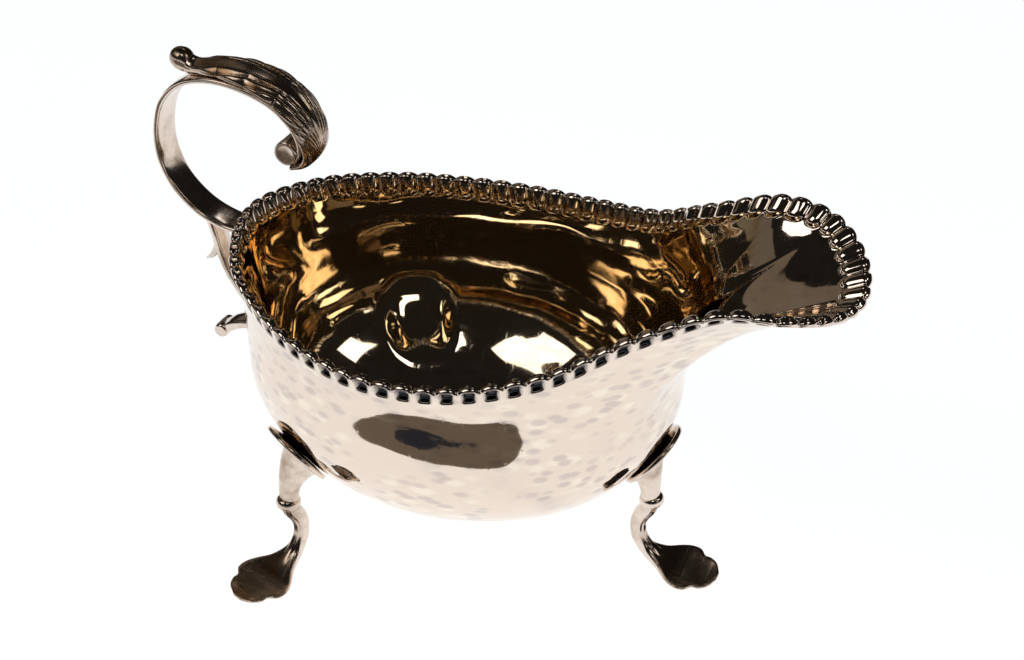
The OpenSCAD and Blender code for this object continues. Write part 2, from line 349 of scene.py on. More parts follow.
def curve_at(knots, s):
    """The smooth curve through knots at each s, where knot number k is at s = k."""
    knots = np.asarray(knots, float)
    if knots.ndim == 1:
        return curve_at(knots[:, None], s)[:, 0]
    s = np.clip(np.asarray(s, float), 0, len(knots) - 1)
    padded = np.vstack([2 * knots[0] - knots[1], knots, 2 * knots[-1] - knots[-2]])
    i = np.minimum(s.astype(int), len(knots) - 2)
    t = (s - i)[:, None]
    return smooth_between(*(padded[i + k] for k in range(4)), t)


def length_along(points):
    steps = np.linalg.norm(np.diff(points, axis=0), axis=1)
    return np.concatenate([[0], np.cumsum(steps)])


def skin(rings):
    """Quads between closed rings, with a fan to a middle point at each end."""
    count, around = rings.shape[:2]
    points = np.vstack([rings.reshape(-1, 3), rings[0].mean(0), rings[-1].mean(0)])
    k = np.arange(around)
    after = (k + 1) % around
    faces = []
    for j in range(count - 1):
        a, b = j * around, (j + 1) * around
        faces += np.stack([a + k, b + k, b + after, a + after], 1).tolist()
    first, last = count * around, count * around + 1
    faces += [[first, int(p), int(q)] for p, q in zip(k, after)]
    top = (count - 1) * around
    faces += [[last, int(top + q), int(top + p)] for p, q in zip(k, after)]
    return points, faces


def outwards(points, faces):
    """The same shell with its faces pointing out."""
    tris = np.array([[f[0], f[i], f[i + 1]] for f in faces for i in range(1, len(f) - 1)])
    a, b, c = (points[tris[:, k]] for k in range(3))
    if np.einsum("ij,ij->i", a - points[0], np.cross(b - points[0], c - points[0])).sum() < 0:
        faces = [face[::-1] for face in faces]
    return points, faces


def make_piece(name, shells, finish, **marks):
    """One object from closed shells of (points in millimetres, faces), with point attributes."""
    points, faces, start = [], [], 0
    for shell_points, shell_faces in (outwards(*shell) for shell in shells):
        points.append(shell_points)
        faces += [[start + v for v in face] for face in shell_faces]
        start += len(shell_points)
    mesh = bpy.data.meshes.new(name)
    mesh.from_pydata((np.vstack(points) * MM).tolist(), [], faces)
    mesh.validate()
    mesh.polygons.foreach_set("use_smooth", [True] * len(mesh.polygons))
    for mark, values in marks.items():
        values = np.asarray(values, np.float32)
        kind = "FLOAT_VECTOR" if values.ndim == 2 else "FLOAT"
        layer = mesh.attributes.new(mark, kind, "POINT")
        layer.data.foreach_set("vector" if values.ndim == 2 else "value", values.ravel())
    mesh.materials.append(finish)
    piece = bpy.data.objects.new(name, mesh)
    bpy.context.scene.collection.objects.link(piece)
    print(name, len(mesh.vertices), "points")
    return piece


def finish_piece(piece, slot, *nodes):
    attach(piece, "root")
    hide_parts(*nodes)


def plain(shells):
    """No hollows, for pieces whose tarnish comes from the clouds alone."""
    return np.zeros(sum(len(points) for points, _ in shells))


print("a curve through 0, 1, 0 is", curve_at([0, 1, 0], [0.5])[0], "high at its first quarter")

# %% [markdown]
# The bowl follows the same rule as the CAD body: a deep oval bowl under its widest line,
# and above it a wall that draws in to a neck and turns out again to the wavy rim. Here
# its grid is far finer, and its columns are laid out by true length along the rim, so
# that the punched bosses come out evenly spaced.

# %% The bowl's rule
BELLY_A, BELLY_B, BELLY_X, BELLY_Z = 54.8, 45.9, -7.1, 52.0
BELLY_DEPTH, BELLY_ROUND, WALL = 36.2, 0.93, 1.0
# x, y, z of the rim, the bearing on the bowl below it, and how far the wall leans out
RIM = np.array([
    [-65.8, 0, 79.6, 180, 26], [-58.6, 21.4, 77.7, 152, 20], [-42.4, 36, 75.5, 129.5, 20],
    [-23.7, 44.4, 73.6, 107.5, 23], [-6.3, 47, 73.3, 89, 25], [11.6, 44.5, 74.9, 70, 24],
    [29.7, 37.7, 79.6, 50, 20], [45.7, 31.1, 88.7, 38, 26], [62.5, 27.2, 96.4, 27, 44],
    [75.8, 23.6, 95.6, 17, 60], [85.1, 13.2, 92.4, 8, 66], [88.2, 0, 90.6, 0, 66]])


def rim_at(s):
    """The rim at each s, with the curve mirrored past both ends so that it closes smoothly."""
    def mirrored(k):
        return [k[0], -k[1], k[2], (360 if k[3] > 90 else 0) - k[3], k[4]]
    knots = np.vstack([mirrored(RIM[1]), RIM, mirrored(RIM[-2])])
    i = np.minimum(s.astype(int), len(RIM) - 2)
    t = (s - i)[:, None]
    return smooth_between(*(knots[i + k] for k in range(4)), t)


def bowl_point(bearing, rise):
    bearing, rise = np.radians(bearing), np.radians(rise)
    across = np.cos(rise).clip(0) ** BELLY_ROUND
    down = np.sin(rise).clip(0) ** BELLY_ROUND
    return np.stack([BELLY_X + BELLY_A * across * np.cos(bearing),
                     BELLY_B * across * np.sin(bearing),
                     BELLY_Z - BELLY_DEPTH * down + 0 * bearing], -1)


BOSSES = 80            # punched bosses round the whole rim
PER_BOSS = 10          # columns of points for each boss
LOW_ROWS, MID_ROWS, RIM_ROWS = 14, 15, 22
RIM_BAND = 9.0         # the finely divided band under the edge, in millimetres

half = BOSSES * PER_BOSS // 2
fine_s = np.linspace(0, len(RIM) - 1, 4001)
fine_length = length_along(rim_at(fine_s)[:, :3])
rim_length = 2 * fine_length[-1]
column_s = np.interp(np.linspace(0, fine_length[-1], half + 1), fine_length, fine_s)
print("rim length", round(rim_length, 1), "mm, boss pitch", round(rim_length / BOSSES, 2))

# %% [markdown]
# A rib is one column of the grid, from the bottom of the bowl to the rim: first rows down
# the oval bowl, then a smooth wall line that starts upright at the widest line and meets
# the rim at its own lean. Only one side is worked out, and the other is its mirror image.

# %% Ribs of the bowl
LOW_PULL, HIGH_PULL, LAST_RISE = 0.36, 0.4, 88


def ribs():
    knots = rim_at(column_s)
    top, bearing, lean_angle = knots[:, :3], knots[:, 3], np.radians(knots[:, 4])
    ahead = rim_at(np.minimum(column_s + 0.02, len(RIM) - 1.001))
    ahead = ahead - rim_at(np.maximum(column_s - 0.02, 0))
    side = np.stack([-ahead[:, 1], ahead[:, 0]], 1)
    side /= np.linalg.norm(side, axis=1)[:, None]
    side[0], side[-1] = (-1, 0), (1, 0)
    lean = np.column_stack([side * np.sin(lean_angle)[:, None], np.cos(lean_angle)])
    foot = bowl_point(bearing, 0 * bearing)
    reach = np.linalg.norm(top - foot, axis=1)[:, None]
    low = foot + reach * [0, 0, LOW_PULL]
    high = top - HIGH_PULL * reach * lean
    t = np.linspace(0, 1, 121)[:, None, None]
    u = 1 - t
    wall_line = u ** 3 * foot + 3 * u * u * t * low + 3 * u * t * t * high + t ** 3 * top
    rows = []
    drops = np.linspace(0, RIM_BAND, RIM_ROWS)[::-1]
    for i in range(half + 1):
        line = wall_line[::-1, i]
        down = length_along(line)
        wanted = np.concatenate([np.linspace(down[-1], RIM_BAND, MID_ROWS + 1)[1:-1], drops])
        upper = np.stack([np.interp(wanted, down, line[:, k]) for k in range(3)], 1)
        rise = np.linspace(LAST_RISE, 0, LOW_ROWS)
        rows.append(np.vstack([bowl_point(np.full(LOW_ROWS, bearing[i]), rise), upper]))
    return np.array(rows)


one_side = ribs()
other_side = one_side[-2:0:-1] * [1, -1, 1]
OUTER = np.vstack([one_side, other_side])        # columns, rows, xyz
COLUMNS, ROWS = OUTER.shape[:2]
print("bowl grid", COLUMNS, "x", ROWS)

# %% [markdown]
# The sheet gets its thickness from a second surface, moved in along the normals, and a
# rounded edge that joins the two. Each point also keeps how far round the rim and how
# far below the edge it is, because the punched rim and the finish both depend on them.

# %% Inner wall and edge
def grid_normals(grid):
    along = np.roll(grid, -1, 0) - np.roll(grid, 1, 0)
    up = np.gradient(grid, axis=1)
    normal = np.cross(up, along)
    normal /= np.linalg.norm(normal, axis=2)[..., None]
    return normal, up / np.linalg.norm(up, axis=2)[..., None]


outward, upward = grid_normals(OUTER)
inner = OUTER - WALL * outward
drop = np.array([length_along(rib[::-1])[::-1] for rib in OUTER])
turn = np.arange(COLUMNS)[:, None] * (rim_length / COLUMNS) + 0 * drop

EDGE_STEPS, EDGE_CROWN, EDGE_DROP = 3, 0.8, 0.4
edge_rows, middle = [], (OUTER[:, -1] + inner[:, -1]) / 2
for k in range(1, EDGE_STEPS + 1):
    angle = math.pi * k / (EDGE_STEPS + 1)
    over = math.cos(angle) * outward[:, -1] + EDGE_CROWN * math.sin(angle) * upward[:, -1]
    edge_rows.append(middle + WALL / 2 * over - EDGE_DROP * upward[:, -1])
edge = np.stack(edge_rows, 1)
pulled = EDGE_DROP * upward[:, -1:]
OUTER[:, -1:] -= pulled
inner[:, -1:] -= pulled


def around_wall(outer_rows, edge_value, inner_rows):
    """One column: up the outside, over the edge, down the inside."""
    return np.concatenate([outer_rows, edge_value, inner_rows[:, ::-1]], 1)


def same_all_round(values):
    """A value that is the same outside, over the edge and inside."""
    return around_wall(values, np.repeat(values[:, -1:], EDGE_STEPS, 1), values)


wall_grid = around_wall(OUTER, edge, inner)
drop_grid, turn_grid = same_all_round(drop), same_all_round(turn)
inward_grid, upward_grid = same_all_round(-outward), same_all_round(upward)
over_edge = np.tile(np.linspace(0.3, 0.9, EDGE_STEPS), (COLUMNS, 1))
inside_grid = around_wall(0 * drop, over_edge, 1 + 0 * drop)
print("wall grid", wall_grid.shape, "deepest rib", round(float(drop.max()), 1), "mm")

# %% [markdown]
# Over each rear leg the sheet is backed inside by a low round boss, where the leg's load
# comes into the thin wall. It is a smooth lift of the inner surface alone.

# %% Bosses over the rear legs
BACKING_R, BACKING_FLAT, BACKING_LIFT = 11.5, 5.5, 3.2
BACKING_X, BACKING_Y, BACKING_Z = -35.0, 31.2, 33.2
backing = 0
for side in (1, -1):
    away = np.linalg.norm(wall_grid - [BACKING_X, side * BACKING_Y, BACKING_Z], axis=2)
    step = ramp(away, BACKING_R, BACKING_FLAT - BACKING_R)
    backing = backing + step ** 2 * (3 - 2 * step)
backing = backing * (inside_grid > 0.95) * (drop_grid > RIM_BAND)
wall_grid = wall_grid + inward_grid * (BACKING_LIFT * backing)[..., None]
print("points lifted", int((backing > 0).sum()))

# %% [markdown]
# The punched rim repeats one boss eighty times, so it is a Geometry Nodes tree. Each
# boss was driven in from outside with a punch: the wall moves inwards under it, leaving
# a hollow outside and a round boss inside, and the edge is left a little higher over each
# one. The tree reads how far round the rim and how far below the edge each point is, and
# its sizes are named inputs. It also lays the slow waves of hand work over the wall.

# %% Tree: punched rim
def punched_rim_tree():
    tree = bpy.data.node_groups.new("punched_rim", "GeometryNodeTree")
    face = tree.interface
    face.new_socket("Geometry", in_out="INPUT", socket_type="NodeSocketGeometry")
    for label, value in (("Boss Pitch", 0.005), ("Boss Length", 0.006), ("Boss Height", 0.0012),
                         ("Pit Depth", 0.0009), ("Edge Notch", 0.0005), ("Wave Depth", 0.0001),
                         ("Wave Count", 60.0)):
        face.new_socket(label, in_out="INPUT", socket_type="NodeSocketFloat").default_value = value
    face.new_socket("Finish", in_out="INPUT", socket_type="NodeSocketMaterial")
    face.new_socket("Geometry", in_out="OUTPUT", socket_type="NodeSocketGeometry")
    given, out = tree.nodes.new("NodeGroupInput").outputs, tree.nodes.new("NodeGroupOutput")

    def named(label, kind="FLOAT"):
        node = add_node(tree, "GeometryNodeInputNamedAttribute", data_type=kind)
        node.inputs["Name"].default_value = label
        return node.outputs[0]

    def scaled(vector, amount):
        node = add_node(tree, "ShaderNodeVectorMath", operation="SCALE")
        feed(tree, vector, node.inputs[0])
        feed(tree, amount, node.inputs["Scale"])
        return node.outputs[0]

    # the boss inside: an ellipse across one pitch, rounded at its lower end
    phase = maths(tree, "DIVIDE", named("rim_turn"), given["Boss Pitch"])
    off_centre = maths(tree, "ABSOLUTE", maths(tree, "SUBTRACT", maths(tree, "FRACT", phase), 0.5))
    longer = product(tree, given["Boss Length"], maths(tree, "ADD", 1.0, named("flute")))
    below = maths(tree, "DIVIDE", named("rim_drop"), longer)
    squared = maths(tree, "POWER", maths(tree, "DIVIDE", off_centre, 0.46), 2.0)
    round_from, round_long = 0.66, 0.34
    past = maths(tree, "DIVIDE", maths(tree, "SUBTRACT", below, round_from), round_long)
    lower_end = maths(tree, "MAXIMUM", past, 0.0)
    squared = maths(tree, "ADD", squared, maths(tree, "POWER", lower_end, 2.0))
    left = maths(tree, "MAXIMUM", maths(tree, "SUBTRACT", 1.0, squared), 0.0)
    boss_in = product(tree, maths(tree, "SQRT", left), ramp_between(tree, below, -0.14, 0.2))
    # the pit outside: a flat-bottomed hollow, clear of both ends of the boss
    pit = product(tree, ramp_between(tree, below, 0.12, 0.24), ramp_between(tree, below, 0.70, 0.56))
    boss_out = product(tree, ramp_between(tree, off_centre, 0.31, 0.19), pit)
    push_out = product(tree, boss_out, given["Pit Depth"], named("punch"))
    push_in = product(tree, boss_in, given["Boss Height"])
    within = named("inner_side")
    push = maths(tree, "ADD", product(tree, push_in, within),
                 product(tree, push_out, maths(tree, "SUBTRACT", 1.0, within)))
    # the edge dips between two bosses
    at_edge = ramp_between(tree, named("rim_drop"), 0.0025, 0.0)
    notch = maths(tree, "POWER", product(tree, off_centre, 2.0), 2.5)
    lobe = product(tree, notch, at_edge, given["Edge Notch"])
    # slow waves in the wall, which fade out before the rim
    noise = add_node(tree, "ShaderNodeTexNoise")
    feed(tree, given["Wave Count"], noise.inputs["Scale"])
    noise.inputs["Detail"].default_value = 1.0
    clear = ramp_between(tree, named("rim_drop"), 0.004, 0.009)
    swing = maths(tree, "SUBTRACT", noise.outputs["Fac"], 0.5)
    swell = product(tree, swing, given["Wave Depth"], named("loose"), clear)
    drawn = add_node(tree, "ShaderNodeVectorMath", operation="ADD")
    feed(tree, scaled(named("inward", "FLOAT_VECTOR"), maths(tree, "ADD", push, swell)), drawn.inputs[0])
    feed(tree, scaled(named("upward", "FLOAT_VECTOR"), product(tree, lobe, -1.0)), drawn.inputs[1])
    moved = tree.nodes.new("GeometryNodeSetPosition")
    feed(tree, given["Geometry"], moved.inputs["Geometry"])
    feed(tree, drawn.outputs[0], moved.inputs["Offset"])
    real = tree.nodes.new("GeometryNodeRealizeInstances")
    feed(tree, moved.outputs[0], real.inputs[0])
    made = tree.nodes.new("GeometryNodeSetMaterial")
    feed(tree, real.outputs[0], made.inputs["Geometry"])
    feed(tree, given["Finish"], made.inputs["Material"])
    feed(tree, made.outputs[0], out.inputs[0])
    return tree


def through_tree(piece, tree, **values):
    """Runs a piece through a geometry tree and keeps the result as a plain mesh."""
    modifier = piece.modifiers.new("shape", "NODES")
    modifier.node_group = tree
    sockets = {item.name: item.identifier for item in tree.interface.items_tree
               if item.in_out == "INPUT"}
    for label, value in values.items():
        modifier[sockets[label.replace("_", " ")]] = value
    view = bpy.context.evaluated_depsgraph_get()
    mesh = bpy.data.meshes.new_from_object(piece.evaluated_get(view), depsgraph=view)
    piece.modifiers.clear()
    piece.data = mesh


punched_rim = punched_rim_tree()
print("punched_rim:", len(punched_rim.nodes), "nodes")

# %% [markdown]
# Now the bowl. What the tree and the finish need to know about each of its points goes
# into point attributes: how gilt and how hollow it is, whether it lies in a pit, which is
# painted near black as painted shade, and how far the wall may wave. The lip past the
# throat stays white inside, and a dark line marks the seam across the throat.

# %% The bowl itself
THROAT_X, CORNER_X = 57.0, 74.0        # the seam across the throat, and the lip's corners


def bowl_shell():
    rows = wall_grid.shape[1]
    flat = wall_grid.reshape(-1, 3)
    bottom = np.array([BELLY_X, 0, BELLY_Z - BELLY_DEPTH])
    points = np.vstack([flat, bottom, bottom + [0, 0, WALL]])
    i = np.arange(COLUMNS)[:, None] * rows
    j = (np.arange(COLUMNS)[:, None] + 1) % COLUMNS * rows
    k = np.arange(rows - 1)
    quads = np.stack([i + k, j + k, j + k + 1, i + k + 1], -1).reshape(-1, 4).tolist()
    outside, within = len(flat), len(flat) + 1
    a, b = i[:, 0], j[:, 0]
    quads += [[outside, int(q), int(p)] for p, q in zip(a, b)]
    quads += [[within, int(p), int(q)] for p, q in zip(a + rows - 1, b + rows - 1)]
    return points, quads


def flat_mark(grid, at_bottom=0.0, at_floor=0.0):
    """One value or vector for each point of the grid and for the two middle points."""
    if grid.ndim == 3:
        return np.vstack([grid.reshape(-1, 3), [[0, 0, 1]], [[0, 0, 1]]])
    return np.concatenate([grid.ravel(), [at_bottom, at_floor]])


along_x = wall_grid[..., 0]
lip_share = ramp(along_x, THROAT_X - 0.5, 2.5)
gilt_grid = inside_grid * (1 - 0.85 * lip_share)
gilt_grid = gilt_grid * np.clip((drop_grid - 2.5) / 4, 0.15, 1)
gilt_grid = gilt_grid * (0.45 + 0.55 * ramp(wall_grid[..., 2], 24, 12))
seam = np.exp(-((along_x - THROAT_X) / 0.7) ** 2) * inside_grid
off_centre = np.abs(np.mod(turn_grid * BOSSES / rim_length, 1) - 0.5)
# painted shade: the outer pits are marked here to be painted near black
pit_shade_grid = ramp(off_centre, 0.32, -0.05) * ramp(drop_grid, 0.6, 0.4)
pit_shade_grid = pit_shade_grid * ramp(drop_grid, 4.5, -0.4) * (1 - inside_grid)
grooves = ramp(off_centre, 0.36, 0.1) * ramp(drop_grid, 6.5, -1.5) * inside_grid
under_edge = np.exp(-(drop_grid / 4) ** 2) * 0.3
at_corner = np.exp(-((along_x - CORNER_X) / 5) ** 2) * (np.abs(wall_grid[..., 1]) > 15)
bowl = make_piece(
    "bowl", [bowl_shell()], sheet_silver,
    rim_turn=flat_mark(turn_grid) * MM, rim_drop=flat_mark(drop_grid) * MM,
    inward=flat_mark(inward_grid), upward=flat_mark(upward_grid),
    inner_side=flat_mark(inside_grid, 0.0, 1.0),
    flute=flat_mark(0.2 * ramp(along_x, CORNER_X, 8)),
    punch=flat_mark(1 - 0.6 * at_corner), pit=flat_mark(pit_shade_grid),
    loose=flat_mark((1 - 0.85 * lip_share) * (1 + 0.4 * inside_grid)),
    gilt=flat_mark(gilt_grid, 0.0, 1.0),
    hollow=flat_mark(np.maximum.reduce([under_edge, seam, 0.8 * grooves])))
through_tree(bowl, punched_rim, Boss_Pitch=rim_length / BOSSES * MM, Boss_Length=0.0060,
             Boss_Height=0.0014, Pit_Depth=0.0011, Edge_Notch=0.0008, Wave_Depth=0.0009, Wave_Count=42.0,
             Finish=sheet_silver)
finish_piece(bowl, "sheet_silver", "body")

# %% [markdown]
# Ribbons. The handle and the shanks of the legs are strips that bend in one upright
# plane, so a section square to a curve in that plane, swept along it, makes them. The
# section is a rounded oblong with its own height above and below the line.

# %% Ribbon helper
def ribbon_rings(line, half_width, above, below, around=28, square=0.6, relief=None):
    """Rings along a line of (x, z) points; relief(v, h) adds height, v across and h up the section."""
    line = np.asarray(line, float)
    heading = np.gradient(line, axis=0)
    heading /= np.linalg.norm(heading, axis=1)[:, None]
    angle = 2 * math.pi * np.arange(around) / around
    v = np.sign(np.cos(angle)) * np.abs(np.cos(angle)) ** square
    h = np.sign(np.sin(angle)) * np.abs(np.sin(angle)) ** square
    height = np.where(h[None, :] > 0, np.outer(above, h), np.outer(below, h))
    if relief is not None:
        height = height + relief(v, h)
    across = np.outer(half_width, v)
    x = line[:, :1] - height * heading[:, 1:]
    z = line[:, 1:] + height * heading[:, :1]
    return np.stack([x, across, z], -1)


def lathe_rings(profile, around=36):
    """Rings round the Y axis from (radius, y) pairs."""
    angle = 2 * math.pi * np.arange(around) / around
    return np.array([[[r * math.cos(a), y, r * math.sin(a)] for a in angle] for r, y in profile])


print("a turned ring has", lathe_rings([(1, 0)]).shape[1], "points")

# %% [markdown]
# The handle is a C scroll: a strip of even width that leaves the rim, swings up and over,
# and rolls in on itself at the end. The roll is a small turned bar with a rim and a
# slightly sunken middle at each end.

# %% Scroll strap
STRAP = [[-63.8, 73.3], [-71.8, 74.2], [-78.8, 77.4], [-84.4, 83.2], [-87.2, 90.8],
         [-86.9, 98.9], [-84.1, 106.4], [-78.2, 111.9], [-70, 114], [-61.3, 113.2],
         [-53.8, 110.4], [-48.7, 105.6], [-47.1, 100.4], [-49.3, 96.7]]
STRAP_HALF, STRAP_ABOVE, STRAP_BELOW, ROLL_AT = 4.2, 0.92, 0.85, (-50.7, 0, 99.1)
ROLL_HALF_PROFILE = [(0.8, -4.3), (1.9, -4.35), (2.5, -4.5), (2.9, -4.4), (3.08, -4.0), (3.1, -2)]

strap_line = curve_at(STRAP, np.linspace(0, len(STRAP) - 1, 150))
level = np.ones(len(strap_line))
strap_rings = ribbon_rings(strap_line, STRAP_HALF * level, STRAP_ABOVE * level, STRAP_BELOW * level,
                           32, 0.5)
roll_profile = ROLL_HALF_PROFILE + [(r, -y) for r, y in ROLL_HALF_PROFILE[::-1]]
shells = [skin(strap_rings), skin(lathe_rings(roll_profile) + np.array(ROLL_AT))]
strap = make_piece("scroll_strap", shells, cast_silver, hollow=plain(shells))
finish_piece(strap, "cast_silver", "handle_strap")

# %% [markdown]
# A long leaf caps the scroll. Its flutes all start at the outer end of the scroll and
# sweep back to the leaf's edge one after another, each ending in a lobe. Across the
# leaf they share the width evenly beside a plain stem, and every few millimetres along
# it one more joins at the edge, so one running number draws them all. The other end
# narrows and swells into a ball for the thumb.

# %% Leaf cap
LEAF_LINE = [[-82.2, 117.9], [-79.8, 116.9], [-76.4, 115.5], [-71.8, 115.9], [-64.8, 116.2],
             [-57.8, 114.9], [-51.5, 111.7], [-46.8, 106.5], [-45, 101], [-46.4, 97.2], [-49.6, 95.6]]
BALL_R = 2.58
# distance from the thumb's end, half width, height over the line
LEAF_SIZES = np.array([[0, 1.0, 1.0], [3, 1.9, 2.2], [5.5, 2.2, 1.9], [8, 2.7, 1.4], [11, 3.5, 1.5],
                       [15, 4.4, 1.6], [20, 5.2, 1.8], [26, 5.9, 2.1], [32, 6.2, 2.3], [39, 6.15, 2.2],
                       [45, 5.6, 1.9], [49, 5.1, 1.5], [54, 4.7, 1.1]])
# the flutes' length, where along the leaf they start, the step from one to the next, depth
FLUTE_LONG, FLUTE_END, FLUTE_PITCH, FLUTE_DEPTH = 41.0, 48.0, 8.0, 0.46
LEAF_AROUND, LEAF_SQUARE = 160, 0.9

leaf_line = curve_at(LEAF_LINE, np.linspace(0, len(LEAF_LINE) - 1, 360))
leaf_d = length_along(leaf_line)
leaf_w, leaf_h = (np.interp(leaf_d, LEAF_SIZES[:, 0], LEAF_SIZES[:, k]) for k in (1, 2))
leaf_back = (FLUTE_END - leaf_d)[:, None]


def flute_wave(v):
    """1 on the crown of a lobe and 0 in the groove between two, and how high the lobes may stand."""
    from_tip = np.clip(leaf_back, 0, None)
    reach = np.clip(from_tip / 9, 0.02, 1) ** 0.6
    stem = np.clip(0.08 + 0.35 * ((from_tip - 12) / 28), 0.06, 0.5)
    out = (np.abs(v)[None, :] / reach - stem) / (1 - stem)
    crowd = np.clip(FLUTE_LONG - from_tip, 0.01, None) / FLUTE_PITCH
    number = out * crowd
    lobe = 1 - np.abs(2 * np.mod(number, 1) ** 0.85 - 1) ** 2.2
    room = leaf_w[:, None] * reach * (1 - stem) / np.maximum(crowd, 1)
    fade = ramp(number, 0, 0.3) * ramp(out, 1.1, -0.15)
    fade = fade * ramp(from_tip, 0, 5) * ramp(from_tip, FLUTE_LONG, -4)
    return lobe, fade * np.minimum(room, 2.8)


def leaf_relief(v, h):
    lobe, room = flute_wave(v)
    upper = np.clip(h, 0, 1)[None, :] ** 0.35 * (h > 0)
    return room * upper * FLUTE_DEPTH * (lobe - 0.5)


def with_ball(size):
    """The leaf's own size, eased into a ball at the thumb's end."""
    ball = np.sqrt(np.clip(BALL_R ** 2 - (leaf_d - BALL_R) ** 2, 0, None))
    ease = 2.2 * ramp(leaf_d, 2, 3.5) * ramp(leaf_d, 14, -6) + 0.01
    point = np.clip(leaf_d / 0.25, 0.1, 1) ** 0.5
    return 0.5 * (ball + size + np.sqrt((ball - size) ** 2 + ease)) * point


lobe_at_edge = np.abs(np.sin(math.pi * (FLUTE_LONG - leaf_back[:, 0]) / FLUTE_PITCH)) ** 0.7
lobe_at_edge = lobe_at_edge * np.clip(leaf_back[:, 0] / 6, 0, 1) * (leaf_back[:, 0] < FLUTE_LONG)
half_w = with_ball(leaf_w * (1 + 0.11 * lobe_at_edge))
below = np.interp(leaf_d, [0, 3, 5.5, 8, 12], [1.0, 2.2, 2.0, 1.6, 1.0])
leaf_rings = ribbon_rings(leaf_line, half_w, with_ball(leaf_h), with_ball(below),
                          LEAF_AROUND, LEAF_SQUARE, leaf_relief)
across = np.cos(2 * math.pi * np.arange(LEAF_AROUND) / LEAF_AROUND)
lobe, room = flute_wave(np.sign(across) * np.abs(across) ** LEAF_SQUARE)
leaf_hollow = 0.4 + 0.6 * np.clip(room, 0, 1) * (1 - lobe)
leaf = make_piece("leaf_cap", [skin(leaf_rings)], cast_silver,
                  hollow=np.concatenate([leaf_hollow.ravel(), [0.4, 0.4]]))
finish_piece(leaf, "cast_silver", "handle_leaf")

# %% [markdown]
# Under the scroll a branch with a small spur runs down to the bowl, and below it the
# handle ends in a curled tail that lies against the bowl's wall.

# %% Lower branch and curled tail
LOWER = [[-76, 76], [-74.8, 70.4], [-73.8, 64.6], [-71.6, 58.3], [-67.9, 52.2], [-62.5, 47.2]]
LOWER_HALF = [3.1, 3, 2.8, 2.7, 2.6, 2.3]
SPUR = [[-74.2, 67.4], [-76.7, 63.2], [-79.4, 60.9]]
TAIL = [[-61.4, 44.3], [-66.4, 44.8], [-71.4, 43.3], [-75.2, 40.9], [-77.6, 39.3]]
TAIL_HALF, TAIL_T = [3.5, 3.2, 2.9, 2.5, 2.1], [1.2, 1.4, 1.5, 1.4, 1.0]
CURL_AT = (-76.4, 0, 40.3)


def swept(line, half, thick, steps, relief=None):
    at = np.linspace(0, len(line) - 1, steps)
    thickness = curve_at(thick, at)
    return ribbon_rings(curve_at(line, at), curve_at(half, at), thickness, thickness, relief=relief)


def midrib(v, h):
    return 0.35 * np.exp(-(v / 0.25) ** 2)[None, :] * np.where(h > 0, 1, -1)[None, :]


shells = [skin(swept(LOWER, LOWER_HALF, [1.2, 1.1, 1.1, 1.1, 1.1, 1.2], 60, relief=midrib)),
          skin(swept(SPUR, [2.4, 1.7, 0.4], [1.1, 0.9, 0.3], 24))]
branch = make_piece("lower_branch", shells, cast_silver, hollow=plain(shells))
finish_piece(branch, "cast_silver", "handle_lower_scroll")

curl_rings = lathe_rings([(0.6, -2.7), (1.2, -2.9), (1.7, -2.8), (1.95, -2.3), (2.0, 0), (1.95, 2.3),
                          (1.7, 2.8), (1.2, 2.9), (0.6, 2.7)]) + np.array(CURL_AT)
shells = [skin(swept(TAIL, TAIL_HALF, TAIL_T, 60, relief=midrib)), skin(curl_rings)]
tail = make_piece("curled_tail", shells, cast_silver, hollow=plain(shells))
finish_piece(tail, "cast_silver", "handle_tail")

# %% [markdown]
# Three legs, all from one pattern as a caster would make them. A flared pad hugs the
# bowl below and stands off it above, a knee runs from the pad to a collar, and below it
# a thin shank sweeps out into a foot with three lobes.

# %% Leg sizes
# place is the collar's x, y and the leg's bearing; pad is a bearing and rise on the bowl
FRONT = dict(name="front", place=(42.5, 0.0, 0.0), pad=(0.0, 27.0))
REAR_LEFT = dict(name="rear_left", place=(-39.4, 35.2, 112.0), pad=(126.0, 25.0))
REAR_RIGHT = dict(name="rear_right", place=(-39.4, -35.2, -112.0), pad=(-126.0, 25.0))
COLLAR_Z, PAD_R, PAD_CURVE, PAD_T, PAD_GAP = 20.0, 9.4, 44.0, 1.1, -0.1
PAD_FLAT_R, PAD_FLARE = 5.2, 1.5       # the pad lifts off the bowl outside its flat middle


def unit(vector):
    return vector / np.linalg.norm(vector)


def pad_frame(bearing, rise):
    """The bowl's point under the pad, its normal, and the directions down and across the pad."""
    h = 0.5
    here = bowl_point(bearing, rise)
    normal = unit(np.cross(bowl_point(bearing, rise - h) - bowl_point(bearing, rise + h),
                           bowl_point(bearing - h, rise) - bowl_point(bearing + h, rise)))
    across = unit(np.cross([0, 0, 1.0], normal))
    return here, normal, np.cross(across, normal), across


def on_pad(pad, u, v, off, curve):
    """A point u down and v across the pad, at a height over the bowl."""
    here, normal, down, across = pad_frame(*pad)
    out = off + np.sqrt(curve ** 2 - u ** 2 - v ** 2) - curve
    return here + out[..., None] * normal + u[..., None] * down + v[..., None] * across


for leg in (FRONT, REAR_LEFT, REAR_RIGHT):
    print(leg["name"], "pad meets the bowl at", bowl_point(*leg["pad"]).round(1), "mm")

# %% [markdown]
# A pad is a thin dished disc, soldered to the bowl. Rings of points run out over its face,
# round its edge and back along its underside. Outside its flat middle it lifts off the
# bowl, most of all at the top, and that leaves the dark crescent of a gap.

# %% Pads
PAD_AROUND = 64


